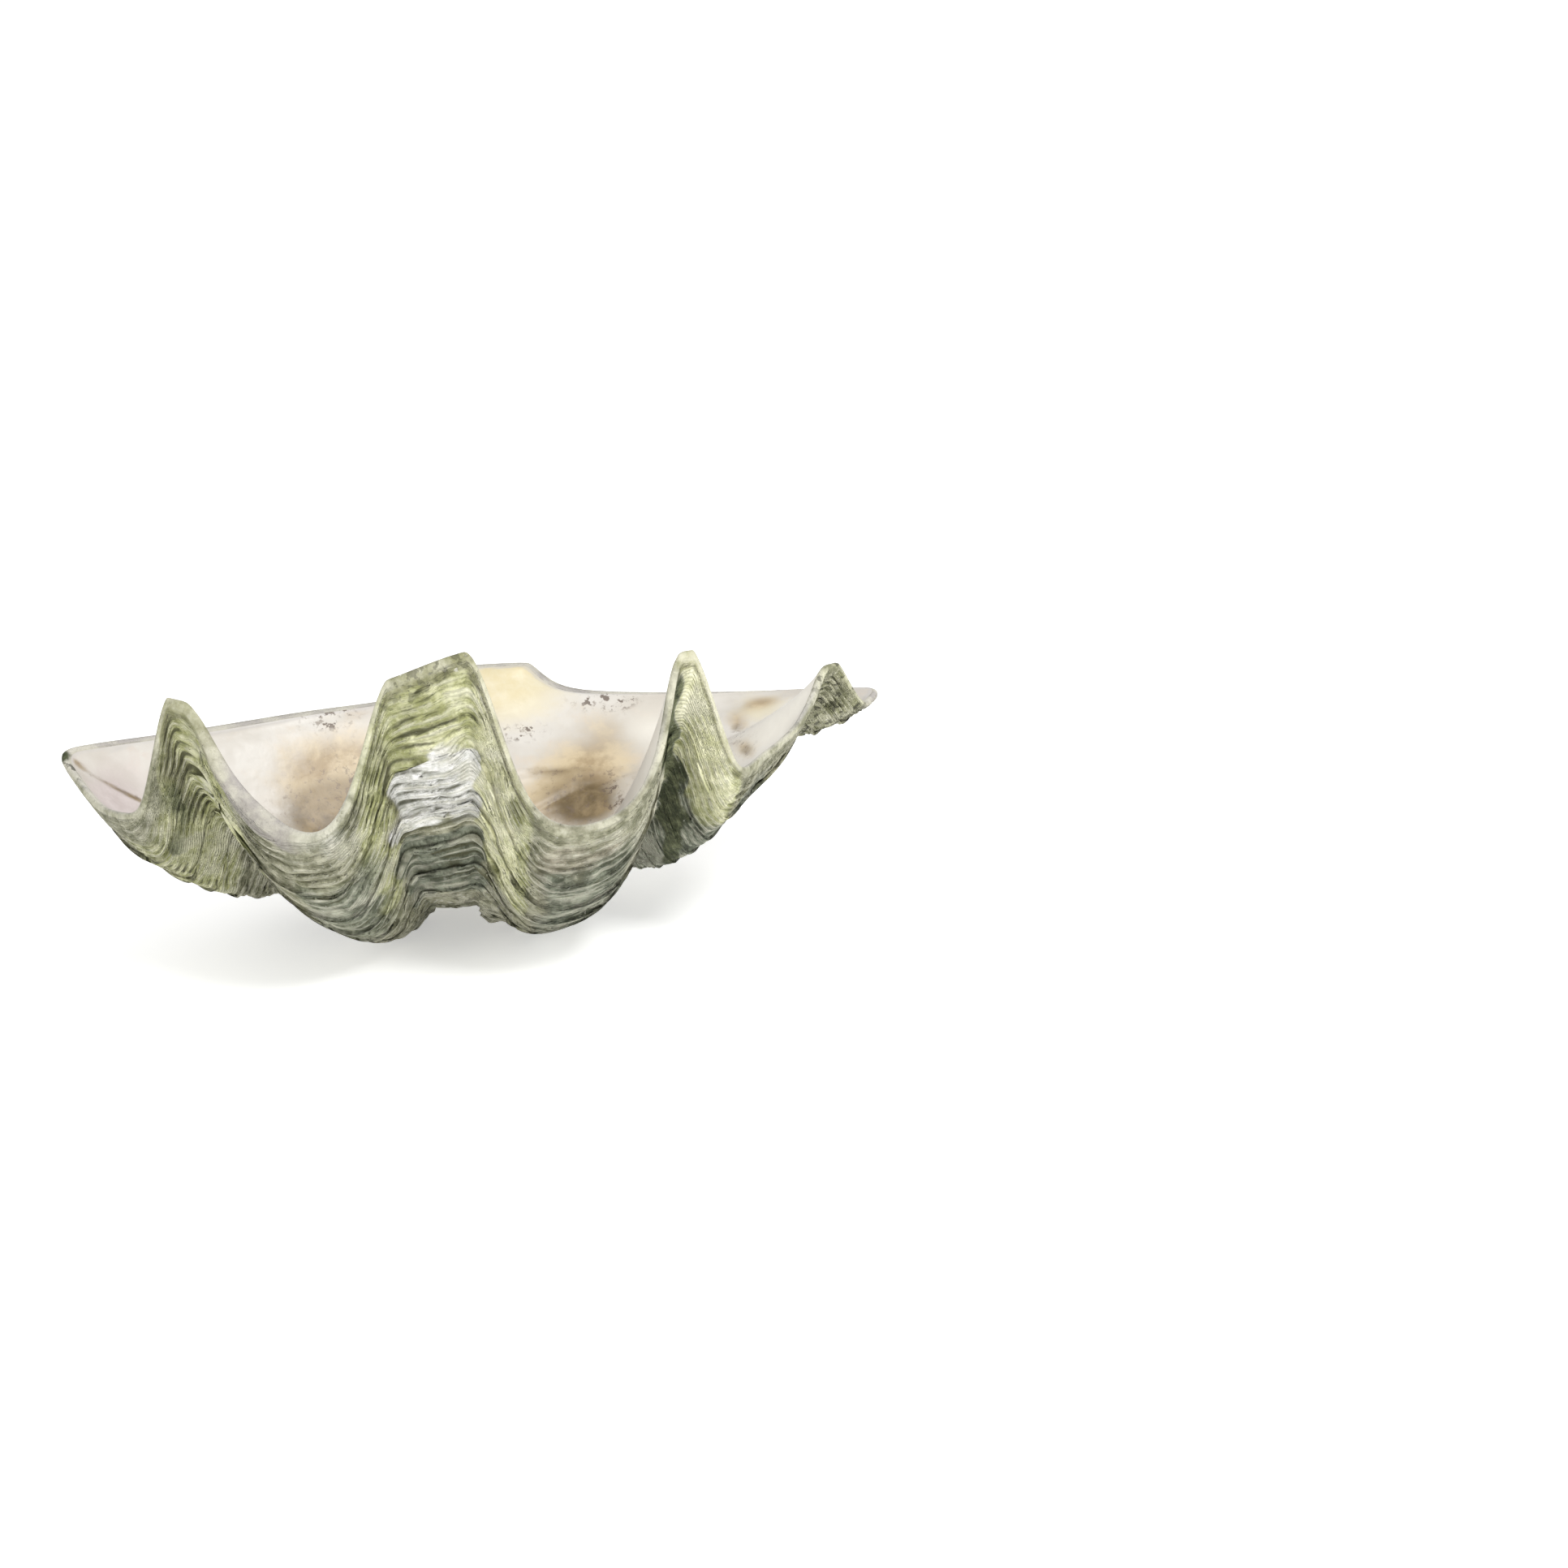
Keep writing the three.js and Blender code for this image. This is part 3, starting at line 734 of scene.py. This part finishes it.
# %% Inside of the shell
def porcelain():
    """Smooth pale lime; a stain shows where its mark plus some noise passes a limit."""
    m = Nodes("shell porcelain")
    patch = m.noise(7)
    cloud = m.noise(24, 5, 0.65)
    grit = m.noise(150, 4, 0.7)
    spots = m.noise(95, 3, 0.65)
    uneven = m.math("MULTIPLY", m.math("SUBTRACT", cloud, 0.5), 0.9)

    def covered(colour, name, dark, light, low=0.2, high=1.0, most=1.0):
        """The colour so far, covered where the mark and the noise together pass from low to high."""
        amount = m.math("MULTIPLY", m.ramp(m.math("ADD", m.mark(name), uneven), low, high), most)
        return m.mix(amount, colour, m.mix(m.ramp(cloud, 0.35, 0.65), dark, light))

    colour = m.mix(m.ramp(patch, 0.35, 0.65), (0.49, 0.455, 0.40), (0.61, 0.585, 0.54))
    colour = m.tint(colour, m.ramp(cloud, 0.52, 0.68), 0.4, (0.56, 0.48, 0.41))
    colour = covered(colour, "blush", (0.44, 0.37, 0.36), (0.58, 0.51, 0.50), most=0.8)
    # Painted light on the inner flanks of the tall and right tongues.
    colour = m.tint(colour, m.mark("pale"), 0.85, (0.80, 0.77, 0.69))
    colour = covered(colour, "cream", (0.59, 0.51, 0.31), (0.63, 0.575, 0.42), 0.1, 0.8)
    colour = covered(colour, "tan", (0.33, 0.24, 0.13), (0.56, 0.46, 0.30), 0.15, 1.0)
    colour = m.tint(colour, m.mark("flank"), 0.75, (0.46, 0.44, 0.42))
    colour = covered(colour, "stain", (0.11, 0.075, 0.03), (0.27, 0.20, 0.105), 0.2, 0.9)
    speck = m.math("MULTIPLY", m.ramp(spots, 0.565, 0.61), m.ramp(m.mark("specks"), 0.3, 0.7))
    colour = m.tint(colour, speck, 0.85, (0.10, 0.07, 0.05))
    dirty = m.ramp(m.math("ADD", m.mark("specks"), m.mark("stain")), 0.02, 0.8)
    dust = m.math("MULTIPLY", m.ramp(grit, 0.54, 0.66), dirty)
    colour = m.tint(colour, dust, 0.6, (0.14, 0.10, 0.07))
    m.put(m.shader.inputs["Base Color"], colour)
    m.put(m.shader.inputs["Roughness"], 0.42)
    m.put(m.shader.inputs["Normal"], m.bump(m.noise(40, 3, 0.5), 0.0015))
    return m.material


shell.data.materials.append(weathered_lime())
shell.data.materials.append(porcelain())
quad_rows = np.repeat(np.arange(len(rows) - 1), COLUMNS)
choice = np.concatenate([quad_rows >= first_inner, np.zeros(COLUMNS), np.ones(COLUMNS)])
shell.data.polygons.foreach_set("material_index", choice.astype(np.int32))

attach(shell, "root")
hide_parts("valve")

# %% [markdown]
# The setting: a plain pale floor, one large soft light from above the front and a weaker one
# on each side. A sun lamp would be simpler, but its hard shadows would hide the folds.

# %% Floor
FLOOR_SIZE = 4000


def floor_finish():
    """Matt white that gives off a little light, so that only a soft shadow shows on it."""
    m = Nodes("pale floor")
    m.put(m.shader.inputs["Base Color"], (0.94, 0.94, 0.94, 1))
    m.put(m.shader.inputs["Roughness"], 0.9)
    m.put(m.shader.inputs["Specular IOR Level"], 0.0)
    m.put(m.shader.inputs["Emission Color"], (1, 1, 1, 1))
    m.put(m.shader.inputs["Emission Strength"], 0.42)
    return m.material


bpy.ops.mesh.primitive_plane_add(size=FLOOR_SIZE)
floor = bpy.context.object
floor.name = "floor"
floor.data.materials.append(floor_finish())


# %% Lights
def soft_light(name, place, aim, size, power):
    """A round area light `size` metres across, turned so that its -Z points at the aim."""
    data = bpy.data.lights.new(name, "AREA")
    data.shape = "DISK"
    data.size = size
    data.energy = power
    light = bpy.data.objects.new(name, data)
    light.location = place
    light.rotation_euler = (Vector(aim) - Vector(place)).to_track_quat("-Z", "Y").to_euler()
    bpy.context.scene.collection.objects.link(light)
    return light


MIDDLE = (0, 0, 0.12)
soft_light("key light", (0.7, -2.0, 2.5), MIDDLE, 1.2, 68)
soft_light("left fill", (-2.4, -1.6, 1.5), MIDDLE, 1.6, 18)
soft_light("right fill", (2.4, -1.4, 1.2), MIDDLE, 1.6, 15)
world = bpy.data.worlds.new("pale room")
world.use_nodes = True
world.node_tree.nodes["Background"].inputs["Color"].default_value = (1, 1, 1, 1)
world.node_tree.nodes["Background"].inputs["Strength"].default_value = 0.7
bpy.context.scene.world = world
bpy.context.scene.view_settings.view_transform = "Standard"

# %% [markdown]
# The camera stands low, in front and to the left of the shell, and is tipped a few degrees. A
# long lens keeps the folds near and far in proportion; a wide one would swell the front.

# %% Camera
CAMERA_AT = Vector((-0.6486, -2.6341, 0.9173))
CAMERA_TO = Vector((0.3142, 0.0812, 0.0806))
CAMERA_ROLL = math.radians(-3.271)
CAMERA_LENS = 65.765
camera_data = bpy.data.cameras.new("camera")
camera_data.lens = CAMERA_LENS
camera_data.sensor_width = 36
camera = bpy.data.objects.new("camera", camera_data)
aim = (CAMERA_TO - CAMERA_AT).to_track_quat("-Z", "Y").to_matrix().to_4x4()
camera.matrix_world = Matrix.Translation(CAMERA_AT) @ aim @ Matrix.Rotation(CAMERA_ROLL, 4, "Z")
bpy.context.scene.collection.objects.link(camera)
bpy.context.scene.camera = camera
